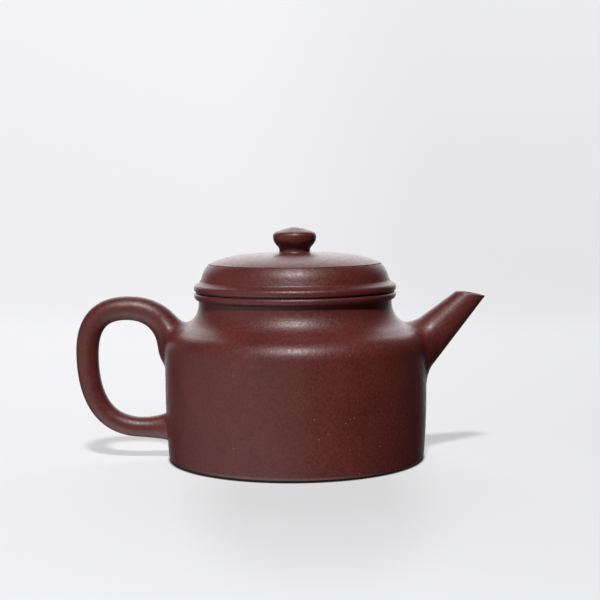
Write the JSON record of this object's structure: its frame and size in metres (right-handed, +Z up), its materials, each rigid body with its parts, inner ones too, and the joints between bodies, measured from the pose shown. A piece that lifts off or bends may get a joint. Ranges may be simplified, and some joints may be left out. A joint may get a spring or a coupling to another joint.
{
  "type": "teapot",
  "caption": "Small unglazed purple-clay teapot with a straight round body, short straight spout, ring handle and lift-off lid with a button knob.",
  "frame": {"origin": "on the ground under the middle of the whole pot's box, which is about 5 mm from the pot's own axis towards the handle", "axes": "+X towards the spout, -X towards the handle, +Z up along the pot's axis, -Y towards the picture's camera"},
  "size_m": [0.1426, 0.0906, 0.08],
  "materials": {
    "clay": "unglazed purple-brown stoneware, fine sandy grain, burnished to a soft satin sheen"
  },
  "bodies": {
    "pot": {"base_slab": "clay", "body_wall": "clay", "shoulder_slab": "clay", "neck_band": "clay", "mouth_bead": "clay", "strainer_dome": "clay", "spout": "clay", "handle": "clay"},
    "lid": {"lid_flange": "clay", "lid_slab_ring": "clay", "lid_bead": "clay", "lid_shoulder_ring": "clay", "lid_top_disc": "clay", "knob": "clay"}
  },
  "joints": [
    {"name": "lid_lift", "type": "slide", "parent": "pot", "child": "lid", "axis": [0, 0, 1], "range_m": [0, 0.06]}
  ]
}
